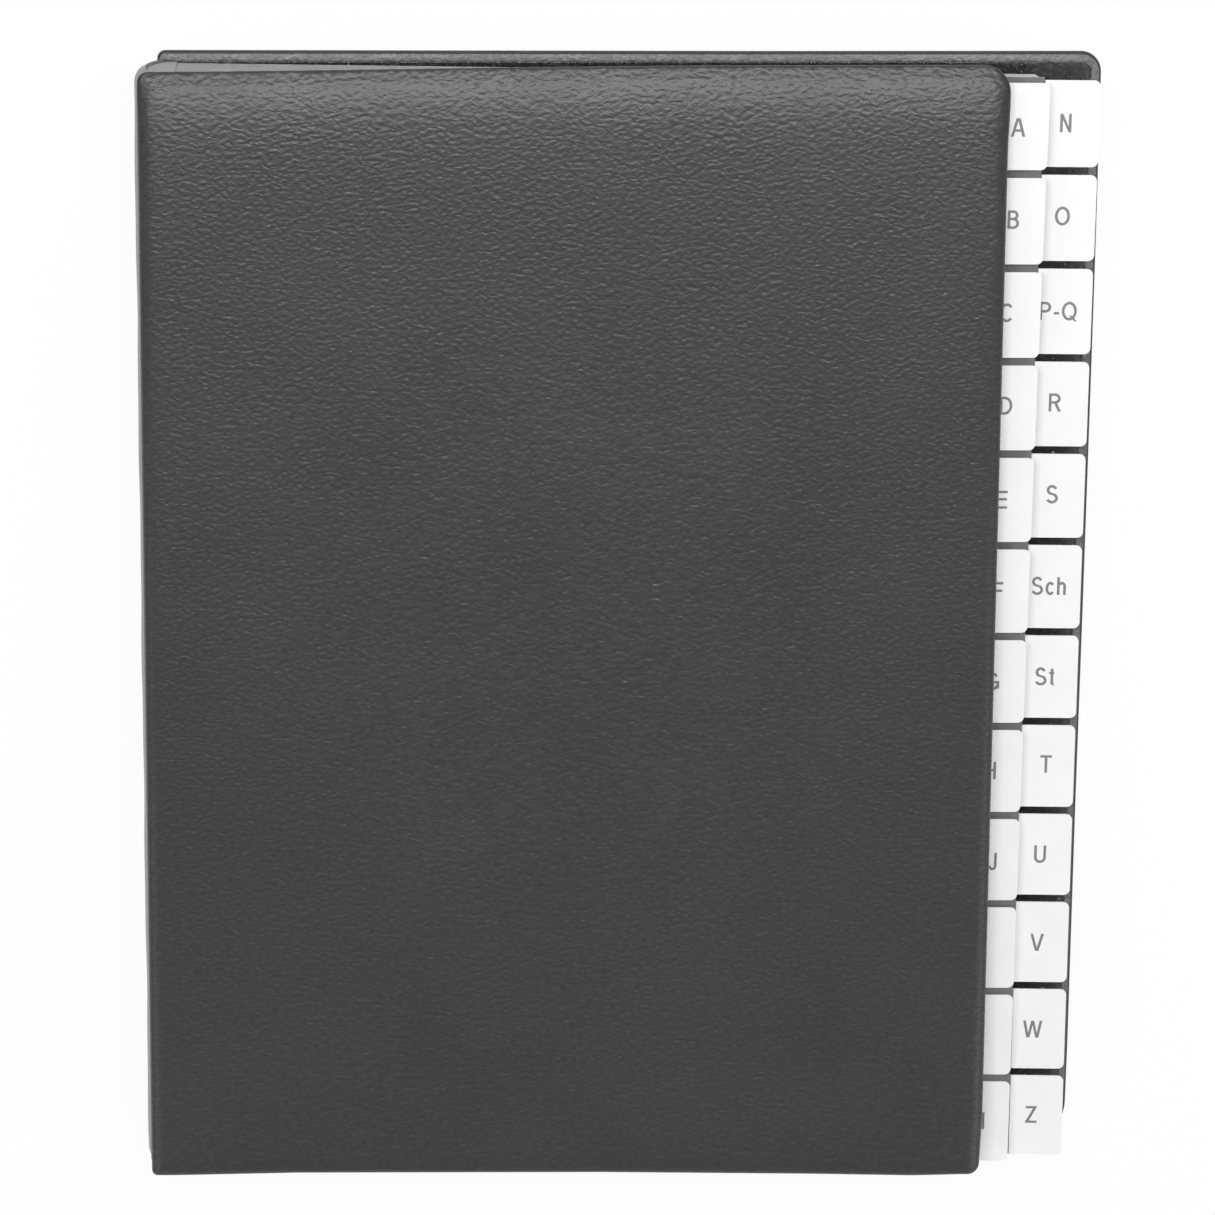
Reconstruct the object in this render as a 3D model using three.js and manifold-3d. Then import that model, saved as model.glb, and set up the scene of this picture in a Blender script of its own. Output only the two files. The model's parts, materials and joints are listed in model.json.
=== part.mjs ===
// Alphabetical desk sorter: two padded covers and a spine around a fan of stepped, tabbed card dividers.
// Millimetres. The sorter lies on its back cover: +X to the fore edge with the tabs, +Y to the head, +Z up.
import * as THREE from "three";
import Module from "manifold-3d";

// Overall sizes
const HEIGHT = 340;
const COVER_T = 5;
const BLOCK_T = 27;
const THICKNESS = BLOCK_T + 2 * COVER_T;
const TOTAL_W = 284;

// Back cover, the wider one, which the tabs lie over
const BACK_RIGHT = TOTAL_W / 2;
const BACK_W = 278;
const BACK_LEFT = BACK_RIGHT - BACK_W;
const BACK_R_FORE = 6;
const BACK_R_SPINE = 2;

// Front cover, narrower, so that the tabs show beside it
const SPINE_BULGE = 1.5;
const FRONT_LEFT = -TOTAL_W / 2 + SPINE_BULGE;
const FRONT_W = 252.5;
const FRONT_RIGHT = FRONT_LEFT + FRONT_W;
const FRONT_R_FORE = 6;
const FRONT_R_SPINE = 1.8;

// Rounding of a padded cover: distance in from its outline against height above its inner face
const COVER_LOFT = [
  [1.1, 0],
  [0.4, 0.3],
  [0, 1.2],
  [0, 2.4],
  [0.35, 3.3],
  [1.2, 4.1],
  [2.6, 4.55],
  [6, 4.85],
  [15, COVER_T],
];

// Lining sheets glued inside the turned-in rim of each cover
const LINING_T = 0.3;
const LINING_INSET = 3.1;
const LINING_R_FORE = 3.2;
const LINING_R_SPINE = 1;
const LINING_SPINE_INSET = 9;

// Spine strip
const SPINE_T = 1.4;
const SPINE_END_GAP = 0.3;
const SPINE_STEPS = 14;

// Card dividers: 24 in two groups of 12, each with one tab
const FRONT_LETTERS = ["A", "B", "C", "D", "E", "F", "G", "H", "J", "K", "L", "M"];
const REAR_LETTERS = ["N", "O", "PQ", "R", "S", "Sch", "St", "T", "U", "V", "W", "Z"];
const CARDS = FRONT_LETTERS.length + REAR_LETTERS.length;
const CARD_T = 0.34;
const HEAD_MARGIN = 3.4;
const TAB_DROP = 0.8;
const FOOT_MARGIN = 1.6;
const CARD_TOP = HEIGHT / 2 - HEAD_MARGIN;
const CARD_FOOT = -HEIGHT / 2 + FOOT_MARGIN;
const GUSSET_DEPTH = 6;
const CARD_LEFT = Math.max(BACK_LEFT, FRONT_LEFT) + GUSSET_DEPTH;
const TAB_MARGIN = 3.4;
const TAB_W = 16.3;
const REAR_BODY_RIGHT = BACK_RIGHT - TAB_MARGIN - TAB_W;
const FRONT_BODY_RIGHT = REAR_BODY_RIGHT - TAB_W;
const TAB_H = 25.6;
const TAB_PITCH = (CARD_TOP - TAB_DROP - CARD_FOOT - TAB_H) / (FRONT_LETTERS.length - 1);
const TAB_R = 1.7;
const BODY_CHAMFER = 1.5;
const CORNER_STEPS = 5;

// The fan: height of each card's middle at the spine and at the body's fore edge, rear card first
const FAN_SPINE = [6.3, 30.7];
const FAN_FORE = [17.6, 29.1];

// The cards hang a little out of true, per mm: fall towards the fore edge, and its lean, rear card first
const DROOP = 0.004;
const LEAN = [0.002, 0.012];

// Finger and sight holes punched through every card, one line down the middle
const HOLE_R = 7;
const HOLE_X = (CARD_LEFT + FRONT_BODY_RIGHT) / 2;
const HOLE_YS = [110, 0, -110];
const HOLE_STEPS = 16;

// White tab film folded round each card's tab
const FILM_T = 0.07;
const FILM_CLEAR = 0.02;
const FILM_FOLD = 0.12;

// Concertina gusset that carries the cards, folded from one strip
const GUSSET_RIDGE_X = CARD_LEFT;
const GUSSET_GLUE = 0.35;
const GUSSET_WALL = 0.24;
const GUSSET_TIP = 0.2;
const GUSSET_TOP = CARD_TOP - 0.8;
const GUSSET_FOOT = CARD_FOOT + 0.4;
const GUSSET_CAP = 1.2;
const GUSSET_CAP_Z = 0.8;

// Finishes
const LEATHERETTE = { color: 0x3a3b3e, roughness: 0.5, metalness: 0 };
const LINING = { color: 0x111214, roughness: 0.25, metalness: 0 };
const CARD = { color: 0x5f6166, roughness: 0.6, metalness: 0 };
const FILM = { color: 0xf4f4f2, roughness: 0.35, metalness: 0 };
const GUSSET = { color: 0x6b6d71, roughness: 0.7, metalness: 0 };

const wasm = await Module();
wasm.setup();

function finish(kind) {
  return new THREE.MeshStandardMaterial(kind);
}

function mesh(name, geometry, kind) {
  const made = new THREE.Mesh(geometry, finish(kind));
  made.name = name;
  return made;
}

// A three.js geometry as a manifold solid
function toSolid(geometry) {
  const flat = geometry.index ? geometry.toNonIndexed() : geometry;
  const source = flat.getAttribute("position");
  const keys = new Map();
  const points = [];
  const triangles = new Uint32Array(source.count);
  for (let i = 0; i < source.count; i++) {
    const p = [source.getX(i), source.getY(i), source.getZ(i)];
    const key = p.map((v) => Math.round(v * 2000)).join(",");
    if (!keys.has(key)) {
      keys.set(key, points.length / 3);
      points.push(...p);
    }
    triangles[i] = keys.get(key);
  }
  return new wasm.Manifold(
    new wasm.Mesh({ numProp: 3, vertProperties: new Float32Array(points), triVerts: triangles }),
  );
}

// A manifold solid as a three.js geometry
function toGeometry(solid) {
  const m = solid.getMesh();
  const xyz = new Float32Array(m.numVert * 3);
  for (let i = 0; i < m.numVert; i++) {
    xyz.set(m.vertProperties.subarray(i * m.numProp, i * m.numProp + 3), i * 3);
  }
  const geometry = new THREE.BufferGeometry();
  geometry.setAttribute("position", new THREE.BufferAttribute(xyz, 3));
  geometry.setIndex(new THREE.BufferAttribute(new Uint32Array(m.triVerts), 1));
  geometry.computeVertexNormals();
  return geometry;
}

// Outline of a rectangle with a radius of its own at each corner, anticlockwise from the foot of the spine
function roundedOutline(x0, x1, y0, y1, radii, inset, steps) {
  const corners = [
    [x0, y0, 1, 1, Math.PI, radii.spine],
    [x1, y0, -1, 1, 1.5 * Math.PI, radii.fore],
    [x1, y1, -1, -1, 0, radii.fore],
    [x0, y1, 1, -1, 0.5 * Math.PI, radii.spine],
  ];
  const points = [];
  for (const [x, y, sx, sy, start, radius] of corners) {
    const cx = x + sx * Math.max(radius, inset + 0.05);
    const cy = y + sy * Math.max(radius, inset + 0.05);
    const r = Math.max(radius - inset, 0.05);
    for (let i = 0; i <= steps; i++) {
      const a = start + (Math.PI / 2) * (i / steps);
      points.push(new THREE.Vector2(cx + r * Math.cos(a), cy + r * Math.sin(a)));
    }
  }
  return points;
}

// A closed solid through rings of equal length, capped at both ends
function loft(rings) {
  const n = rings[0].length;
  const xyz = [];
  for (const ring of rings) {
    for (const p of ring) xyz.push(p.x, p.y, p.z);
  }
  const index = [];
  for (let k = 0; k + 1 < rings.length; k++) {
    for (let i = 0; i < n; i++) {
      const j = (i + 1) % n;
      const a = k * n + i;
      const b = k * n + j;
      index.push(a, b, b + n, a, b + n, a + n);
    }
  }
  const last = (rings.length - 1) * n;
  const flat = (ring) => ring.map((p) => new THREE.Vector2(p.x, p.y));
  for (const [a, b, c] of THREE.ShapeUtils.triangulateShape(flat(rings[0]), [])) index.push(a, c, b);
  for (const [a, b, c] of THREE.ShapeUtils.triangulateShape(flat(rings.at(-1)), [])) {
    index.push(last + a, last + b, last + c);
  }
  const geometry = new THREE.BufferGeometry();
  geometry.setAttribute("position", new THREE.Float32BufferAttribute(xyz, 3));
  geometry.setIndex(index);
  geometry.computeVertexNormals();
  return geometry;
}

// A padded cover: its inner face at innerZ, crowned away from the block in the direction up (1) or down (-1)
function cover(left, right, radii, innerZ, up) {
  const rings = COVER_LOFT.map(([inset, h]) =>
    roundedOutline(left, right, -HEIGHT / 2, HEIGHT / 2, radii, inset, 6).map(
      (p) => new THREE.Vector3(p.x, p.y, innerZ + up * h),
    ),
  );
  return loft(up > 0 ? rings : rings.reverse());
}

// A lining sheet inside a cover's rim
function lining(left, right, z) {
  const shape = new THREE.Shape(
    roundedOutline(
      left + LINING_SPINE_INSET,
      right - LINING_INSET,
      -HEIGHT / 2 + LINING_INSET,
      HEIGHT / 2 - LINING_INSET,
      { spine: LINING_R_SPINE, fore: LINING_R_FORE },
      0,
      4,
    ),
  );
  return new THREE.ExtrudeGeometry(shape, { depth: LINING_T, bevelEnabled: false }).translate(0, 0, z);
}

// Outer line of the spine: leans from the back cover's edge to the front cover's and bulges between them
function spineX(t) {
  const lean = THREE.MathUtils.lerp(BACK_LEFT, FRONT_LEFT, Math.pow(t, 0.8));
  const swell = 3.6 * Math.pow(Math.sin(Math.PI * Math.pow(t, 0.82)), 1.2);
  return Math.max(lean - swell, -TOTAL_W / 2);
}

const SPINE_Z0 = COVER_T + SPINE_END_GAP;
const SPINE_Z1 = COVER_T + BLOCK_T - SPINE_END_GAP;

// Where the gusset meets the inside of the spine at a height
function glueX(z) {
  const t = THREE.MathUtils.clamp((z - SPINE_Z0) / (SPINE_Z1 - SPINE_Z0), 0, 1);
  return spineX(t) + SPINE_T + GUSSET_GLUE;
}

function spine() {
  const outer = [];
  const inner = [];
  for (let i = 0; i <= SPINE_STEPS; i++) {
    const t = i / SPINE_STEPS;
    const z = THREE.MathUtils.lerp(SPINE_Z0, SPINE_Z1, t);
    outer.push(new THREE.Vector2(spineX(t), z));
    inner.push(new THREE.Vector2(spineX(t) + SPINE_T, z));
  }
  const half = HEIGHT / 2 - 0.8;
  return prismAlongY([...outer.reverse(), ...inner], -half, half);
}

// A solid with the given cross-section in X and Z, running along Y
function prismAlongY(section, y0, y1) {
  const ccw = THREE.ShapeUtils.isClockWise(section) ? [...section].reverse() : section;
  const shape = new THREE.Shape(ccw);
  const made = new THREE.ExtrudeGeometry(shape, { depth: y1 - y0, bevelEnabled: false });
  // The extrusion's own Z turns to -Y, and its Y to Z
  return made.rotateX(Math.PI / 2).translate(0, y1, 0);
}

// Height of a card's middle at the spine; card 0 lies next to the back cover
function spineHeight(card) {
  return THREE.MathUtils.lerp(FAN_SPINE[0], FAN_SPINE[1], card / (CARDS - 1));
}

function foreHeight(card) {
  return THREE.MathUtils.lerp(FAN_FORE[0], FAN_FORE[1], card / (CARDS - 1));
}

// Puts a flat piece that was made about z = 0 on its card's slope
function ontoSlope(geometry, card) {
  const z0 = spineHeight(card);
  const slope = (foreHeight(card) - z0) / (REAR_BODY_RIGHT - CARD_LEFT);
  const p = geometry.getAttribute("position");
  const lean = THREE.MathUtils.lerp(LEAN[0], LEAN[1], card / (CARDS - 1));
  for (let i = 0; i < p.count; i++) {
    const across = p.getX(i) - CARD_LEFT;
    const y = p.getY(i);
    p.setX(i, p.getX(i) + (lean * y * across) / (REAR_BODY_RIGHT - CARD_LEFT));
    p.setY(i, y - DROOP * across);
    p.setZ(i, p.getZ(i) + z0 + slope * across);
  }
  geometry.computeVertexNormals();
  return geometry;
}

function tabTop(row) {
  return CARD_TOP - TAB_DROP - row * TAB_PITCH;
}

// The right-hand end of a tab, from its foot to its top, with rounded corners
function tabEnd(left, right, y0, y1, radius) {
  const points = [new THREE.Vector2(left, y0)];
  for (const [cy, start] of [
    [y0 + radius, -Math.PI / 2],
    [y1 - radius, 0],
  ]) {
    for (let i = 0; i <= CORNER_STEPS; i++) {
      const a = start + (Math.PI / 2) * (i / CORNER_STEPS);
      points.push(new THREE.Vector2(right - radius + radius * Math.cos(a), cy + radius * Math.sin(a)));
    }
  }
  points.push(new THREE.Vector2(left, y1));
  return points;
}

// Outline of one card: its body, less the corners no tab stands on, and its one tab
function cardOutline(bodyRight, row) {
  const top = tabTop(row);
  const foot = top - TAB_H;
  const c = BODY_CHAMFER;
  const points = [new THREE.Vector2(CARD_LEFT, CARD_FOOT)];
  if (foot > CARD_FOOT + c) {
    points.push(new THREE.Vector2(bodyRight - c, CARD_FOOT));
    points.push(new THREE.Vector2(bodyRight, CARD_FOOT + c));
  }
  points.push(...tabEnd(bodyRight, bodyRight + TAB_W, foot, top, TAB_R));
  if (top < CARD_TOP - c) {
    points.push(new THREE.Vector2(bodyRight, CARD_TOP - c));
    points.push(new THREE.Vector2(bodyRight - c, CARD_TOP));
  } else {
    points.push(new THREE.Vector2(bodyRight, CARD_TOP));
  }
  points.push(new THREE.Vector2(CARD_LEFT, CARD_TOP));
  return points;
}

function divider(bodyRight, row, card) {
  const shape = new THREE.Shape(cardOutline(bodyRight, row));
  for (const y of HOLE_YS) {
    const ring = [];
    for (let i = 0; i < HOLE_STEPS; i++) {
      const a = (-2 * Math.PI * i) / HOLE_STEPS;
      ring.push(new THREE.Vector2(HOLE_X + HOLE_R * Math.cos(a), y + HOLE_R * Math.sin(a)));
    }
    shape.holes.push(new THREE.Path(ring));
  }
  const flat = new THREE.ExtrudeGeometry(shape, { depth: CARD_T, bevelEnabled: false });
  return ontoSlope(flat.translate(0, 0, -CARD_T / 2), card);
}

// The film: a thin sleeve, open at the card's body, folded round the tab's end
function tabFilm(bodyRight, row, card) {
  const top = tabTop(row);
  const foot = top - TAB_H;
  const right = bodyRight + TAB_W;
  const half = CARD_T / 2 + FILM_CLEAR;
  const full = half + FILM_T;
  const outer = new THREE.Shape(
    tabEnd(bodyRight + 0.3, right + FILM_CLEAR + FILM_FOLD, foot, top, TAB_R + FILM_CLEAR + FILM_FOLD),
  );
  const inner = new THREE.Shape(
    tabEnd(bodyRight - 1, right + FILM_CLEAR, foot - 1, top + 1, TAB_R + FILM_CLEAR),
  );
  const skin = toSolid(
    new THREE.ExtrudeGeometry(outer, { depth: 2 * full, bevelEnabled: false }).translate(0, 0, -full),
  );
  const pocket = toSolid(
    new THREE.ExtrudeGeometry(inner, { depth: 2 * half, bevelEnabled: false }).translate(0, 0, -half),
  );
  return ontoSlope(toGeometry(skin.subtract(pocket)), card);
}

// The concertina: one strip folded into a ridge behind every card and a valley between each two
function gusset() {
  const outer = [];
  const inner = [];
  const step = (FAN_SPINE[1] - FAN_SPINE[0]) / (CARDS - 1);
  for (let card = 0; card < CARDS; card++) {
    const z = spineHeight(card);
    // The side towards the cards
    outer.push(new THREE.Vector2(GUSSET_RIDGE_X, z - GUSSET_TIP));
    outer.push(new THREE.Vector2(GUSSET_RIDGE_X, z + GUSSET_TIP));
    if (card + 1 < CARDS) outer.push(new THREE.Vector2(glueX(z + step / 2) + 0.5, z + step / 2));
    // The side towards the spine
    inner.push(new THREE.Vector2(GUSSET_RIDGE_X - 1.1, z));
    if (card + 1 < CARDS) {
      const x = glueX(z + step / 2);
      inner.push(new THREE.Vector2(x, z + step / 2 - GUSSET_WALL / 2));
      inner.push(new THREE.Vector2(x, z + step / 2 + GUSSET_WALL / 2));
    }
  }
  // The strip's two ends run back to the spine beside the covers
  const low = spineHeight(0);
  const high = spineHeight(CARDS - 1);
  const lowX = glueX(low - 2 * GUSSET_WALL);
  const highX = glueX(high + 2 * GUSSET_WALL);
  const lowEnd = [
    new THREE.Vector2(lowX, low - 2 * GUSSET_WALL),
    new THREE.Vector2(lowX, low - GUSSET_WALL),
  ];
  const highEnd = [
    new THREE.Vector2(highX, high + GUSSET_WALL),
    new THREE.Vector2(highX, high + 2 * GUSSET_WALL),
  ];
  const section = [...outer, highEnd[1], highEnd[0], ...inner.reverse(), lowEnd[1], lowEnd[0]];
  // Its head and foot are turned over the folds and close the spine's ends
  const cap = [];
  for (let i = 0; i <= SPINE_STEPS; i++) {
    const z = THREE.MathUtils.lerp(SPINE_Z0 + GUSSET_CAP_Z, SPINE_Z1 - GUSSET_CAP_Z, i / SPINE_STEPS);
    cap.push(new THREE.Vector2(glueX(z), z));
  }
  cap.push(new THREE.Vector2(GUSSET_RIDGE_X, SPINE_Z1 - GUSSET_CAP_Z));
  cap.push(new THREE.Vector2(GUSSET_RIDGE_X, SPINE_Z0 + GUSSET_CAP_Z));
  const folds = toSolid(prismAlongY(section, GUSSET_FOOT, GUSSET_TOP));
  const head = toSolid(prismAlongY(cap, GUSSET_TOP - GUSSET_CAP / 2, GUSSET_TOP + GUSSET_CAP));
  const foot = toSolid(prismAlongY(cap, GUSSET_FOOT - GUSSET_CAP, GUSSET_FOOT + GUSSET_CAP / 2));
  return toGeometry(folds.add(head).add(foot));
}

const sorter = new THREE.Group();
sorter.name = "desk_sorter";
sorter.add(
  mesh(
    "back_cover",
    cover(BACK_LEFT, BACK_RIGHT, { spine: BACK_R_SPINE, fore: BACK_R_FORE }, COVER_T, -1),
    LEATHERETTE,
  ),
  mesh("back_lining", lining(BACK_LEFT, BACK_RIGHT, COVER_T), LINING),
  mesh(
    "front_cover",
    cover(
      FRONT_LEFT,
      FRONT_RIGHT,
      { spine: FRONT_R_SPINE, fore: FRONT_R_FORE },
      COVER_T + BLOCK_T,
      1,
    ),
    LEATHERETTE,
  ),
  mesh("front_lining", lining(FRONT_LEFT, FRONT_RIGHT, COVER_T + BLOCK_T - LINING_T), LINING),
  mesh("spine", spine(), LEATHERETTE),
  mesh("gusset", gusset(), GUSSET),
);
FRONT_LETTERS.forEach((letter, row) => {
  const card = CARDS - 1 - row;
  sorter.add(mesh("divider_" + letter, divider(FRONT_BODY_RIGHT, row, card), CARD));
  sorter.add(mesh("tab_" + letter, tabFilm(FRONT_BODY_RIGHT, row, card), FILM));
});
REAR_LETTERS.forEach((letter, row) => {
  const card = REAR_LETTERS.length - 1 - row;
  sorter.add(mesh("divider_" + letter, divider(REAR_BODY_RIGHT, row, card), CARD));
  sorter.add(mesh("tab_" + letter, tabFilm(REAR_BODY_RIGHT, row, card), FILM));
});

export default sorter;
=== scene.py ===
"""Looks of the alphabetical desk sorter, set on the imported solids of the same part."""
import json
import logging
import math
from dataclasses import dataclass, field
from enum import Enum
from typing import Any, Iterable, Optional, Sequence

import bmesh
import bpy
from mathutils import Matrix, Vector

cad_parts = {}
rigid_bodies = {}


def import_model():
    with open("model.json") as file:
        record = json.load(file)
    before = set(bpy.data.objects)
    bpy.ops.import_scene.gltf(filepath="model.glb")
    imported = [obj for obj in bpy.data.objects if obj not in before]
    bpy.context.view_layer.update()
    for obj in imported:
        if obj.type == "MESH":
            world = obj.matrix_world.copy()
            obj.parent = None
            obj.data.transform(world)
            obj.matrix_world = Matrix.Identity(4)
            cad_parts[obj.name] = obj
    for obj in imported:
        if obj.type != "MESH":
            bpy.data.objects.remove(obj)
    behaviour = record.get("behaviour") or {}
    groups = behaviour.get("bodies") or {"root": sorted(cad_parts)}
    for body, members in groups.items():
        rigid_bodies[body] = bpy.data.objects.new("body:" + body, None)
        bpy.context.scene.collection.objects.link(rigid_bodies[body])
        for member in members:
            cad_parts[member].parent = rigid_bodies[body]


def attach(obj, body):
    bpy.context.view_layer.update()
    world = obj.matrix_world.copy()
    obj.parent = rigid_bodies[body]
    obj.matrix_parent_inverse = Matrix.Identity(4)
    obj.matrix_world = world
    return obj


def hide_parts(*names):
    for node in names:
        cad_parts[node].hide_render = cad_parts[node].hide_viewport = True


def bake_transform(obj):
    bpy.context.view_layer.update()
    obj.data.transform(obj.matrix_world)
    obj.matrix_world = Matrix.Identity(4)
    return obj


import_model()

LOG = logging.getLogger("sorter")
MM = 0.001
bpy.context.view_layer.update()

Pair = tuple[float, float]
Point = tuple[float, float, float]
Color = tuple[float, float, float, float]
Line = tuple[Pair, ...]
Object = bpy.types.Object
Material = bpy.types.Material


class Slot(Enum):
    """Material slots of the record."""

    LEATHERETTE = "leatherette"
    LINING = "lining"
    CARD = "card"
    FILM = "tab_film"
    GUSSET = "gusset"


class Body(Enum):
    """Moving bodies of the record."""

    BACK = "back"
    BLOCK = "block"
    FRONT = "front"


# --- shader helpers


class Sock:
    """A value in a shader tree, with arithmetic that adds Math nodes."""

    def __init__(self, shader: "Shader", socket: bpy.types.NodeSocket) -> None:
        """Wraps one output socket."""
        self.shader = shader
        self.socket = socket

    def _math(self, operation: str, *values: Any) -> "Sock":
        """Adds one Math node.

        Args:
            operation: the node's operation.
            values: its inputs, numbers or Socks.

        Returns:
            The node's result.
        """
        node = self.shader.node("ShaderNodeMath", {"operation": operation}, dict(enumerate(values)))
        return Sock(self.shader, node.outputs[0])

    def __add__(self, other: Any) -> "Sock":
        """self + other."""
        return self._math("ADD", self, other)

    def __sub__(self, other: Any) -> "Sock":
        """self - other."""
        return self._math("SUBTRACT", self, other)

    def __mul__(self, other: Any) -> "Sock":
        """self * other."""
        return self._math("MULTIPLY", self, other)

    def abs(self) -> "Sock":
        """Absolute value."""
        return self._math("ABSOLUTE", self)

    def ramp(self, low: float, high: float, start: float = 0.0, end: float = 1.0) -> "Sock":
        """Maps a range smoothly onto another and holds it at its ends.

        Args:
            low: value that gives start.
            high: value that gives end.
            start: result at low.
            end: result at high.

        Returns:
            The mapped value.
        """
        node = self.shader.node(
            "ShaderNodeMapRange",
            {"interpolation_type": "SMOOTHSTEP", "clamp": True},
            {"Value": self, "From Min": low, "From Max": high, "To Min": start, "To Max": end},
        )
        return Sock(self.shader, node.outputs["Result"])


class Shader:
    """One node material and the ways to add nodes to it."""

    def __init__(self, name: str) -> None:
        """Starts an empty material with an output and a Principled surface."""
        self.material = bpy.data.materials.new(name)
        self.material.use_nodes = True
        self.tree = self.material.node_tree
        self.tree.nodes.clear()
        self.output = self.tree.nodes.new("ShaderNodeOutputMaterial")
        self.surface = self.tree.nodes.new("ShaderNodeBsdfPrincipled")
        self.tree.links.new(self.surface.outputs[0], self.output.inputs["Surface"])

    def node(self, kind: str, settings: dict[str, Any], values: dict[Any, Any]) -> bpy.types.Node:
        """Adds a node.

        Args:
            kind: the node's type name.
            settings: its properties, set first.
            values: its inputs by name or number, each a constant or a Sock.

        Returns:
            The node.
        """
        made = self.tree.nodes.new(kind)
        for key, value in settings.items():
            setattr(made, key, value)
        for key, value in values.items():
            self.feed(made.inputs[key], value)
        return made

    def feed(self, target: bpy.types.NodeSocket, value: Any) -> None:
        """Sets or links one input socket."""
        if isinstance(value, Sock):
            self.tree.links.new(value.socket, target)
        else:
            target.default_value = value

    def place(self, scale: Point = (1.0, 1.0, 1.0), turn: float = 0.0) -> Sock:
        """Object coordinates, scaled and turned about Z.

        Args:
            scale: factor on each axis.
            turn: angle about Z in radians.

        Returns:
            The vector.
        """
        coords = self.node("ShaderNodeTexCoord", {}, {})
        mapping = self.node(
            "ShaderNodeMapping",
            {},
            {"Vector": Sock(self, coords.outputs["Object"]), "Rotation": (0.0, 0.0, turn), "Scale": scale},
        )
        return Sock(self, mapping.outputs[0])

    def facing(self) -> tuple[Sock, Sock, Sock]:
        """The three parts of the surface normal in object space."""
        coords = self.node("ShaderNodeTexCoord", {}, {})
        parts = self.node("ShaderNodeSeparateXYZ", {}, {0: Sock(self, coords.outputs["Normal"])})
        return tuple(Sock(self, parts.outputs[i]) for i in range(3))

    def noise(self, vector: Sock, scale: float, detail: float = 3.0, rough: float = 0.5) -> Sock:
        """Noise between 0 and 1.

        Args:
            vector: where it is read.
            scale: its scale.
            detail: number of octaves.
            rough: strength of each finer octave.

        Returns:
            The noise factor.
        """
        values = {"Vector": vector, "Scale": scale, "Detail": detail, "Roughness": rough}
        return Sock(self, self.node("ShaderNodeTexNoise", {}, values).outputs[0])

    def offset(self, value: Sock) -> Sock:
        """Makes a vector in X and Y of equal values about zero.

        Args:
            value: a noise factor.

        Returns:
            The vector.
        """
        made = self.node("ShaderNodeCombineXYZ", {}, {0: value - 0.5, 1: value - 0.5, 2: 0.0})
        return Sock(self, made.outputs[0])

    def shifted(self, vector: Sock, value: Sock, reach: float) -> Sock:
        """Moves a vector by a noise factor.

        Args:
            vector: the vector.
            value: the noise factor.
            reach: length of the greatest shift.

        Returns:
            The moved vector.
        """
        made = self.node(
            "ShaderNodeVectorMath",
            {"operation": "MULTIPLY_ADD"},
            {0: self.offset(value), 1: (2.0 * reach, 2.0 * reach, 2.0 * reach), 2: vector},
        )
        return Sock(self, made.outputs[0])

    def blend(self, factor: Any, low: Any, high: Any) -> Sock:
        """Mixes two colours.

        Args:
            factor: 0 gives low, 1 gives high.
            low: colour or Sock.
            high: colour or Sock.

        Returns:
            The mixed colour.
        """
        made = self.node("ShaderNodeMix", {"data_type": "RGBA"}, {"Factor": factor})
        self.feed(made.inputs[6], low)
        self.feed(made.inputs[7], high)
        return Sock(self, made.outputs[2])

    def bump(self, height: Sock, distance: float) -> None:
        """Feeds a height into the surface's normal.

        Args:
            height: the relief, 0 to 1.
            distance: its depth in metres.
        """
        made = self.node("ShaderNodeBump", {}, {"Height": height, "Distance": distance})
        self.tree.links.new(made.outputs[0], self.surface.inputs["Normal"])

    def set(self, **values: Any) -> None:
        """Sets inputs of the surface, with _ for a space in each name."""
        for key, value in values.items():
            self.feed(self.surface.inputs[key.replace("_", " ")], value)


def rgb(red: float, green: float, blue: float) -> Color:
    """A colour with full alpha."""
    return (red, green, blue, 1.0)


def tinted(tone: float, red: float, green: float, blue: float) -> Color:
    """A grey tone with a factor on each channel."""
    return rgb(tone * red, tone * green, tone * blue)


# --- finishes


@dataclass(frozen=True)
class Finish:
    """A surface that makes its own material."""

    name: str

    def paint(self, s: Shader) -> None:
        """Adds the nodes of this finish to its shader."""
        raise NotImplementedError

    def make(self) -> Material:
        """Builds the material.

        Returns:
            The material.
        """
        s = Shader(self.name)
        self.paint(s)
        return s.material


@dataclass(frozen=True)
class LeatheretteFinish(Finish):
    """Anthracite leatherette with a fine wrinkled grain that runs across the covers."""

    name: str = "leatherette"
    tone: float = 0.0135
    grain_mm: Pair = (1.75, 1.15)
    depth: float = 0.00021
    roughness: float = 0.365
    specular: float = 0.46

    def paint(self, s: Shader) -> None:
        """Adds the nodes of this finish to its shader."""
        wide, tall = (1.0 / (size * MM) for size in self.grain_mm)
        drift = s.noise(s.place((150.0, 230.0, 200.0)), 1.0, 1.0)
        flat = s.shifted(s.place((wide, tall, tall), 0.06), drift, 0.7)
        pebble = s.noise(flat, 1.0, 1.0, 0.35)
        crease = s.noise(s.shifted(s.place((wide, tall, tall), -0.5), drift, 0.5), 1.0, 1.0, 0.4)
        patch = s.noise(s.place(), 26.0, 2.0)
        relief = pebble * 0.7 + crease * 0.5 + patch * 0.3
        s.bump(relief, self.depth)
        shade = pebble * 0.5 + crease * 0.4 + patch * 0.2
        dark = tinted(self.tone, 0.5, 0.5, 0.58)
        light = tinted(self.tone, 1.5, 1.5, 1.7)
        s.set(Base_Color=s.blend(shade.ramp(0.32, 0.82), dark, light))
        s.set(Roughness=(patch * 0.08 + self.roughness - 0.04))
        s.set(Specular_IOR_Level=self.specular)


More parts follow.
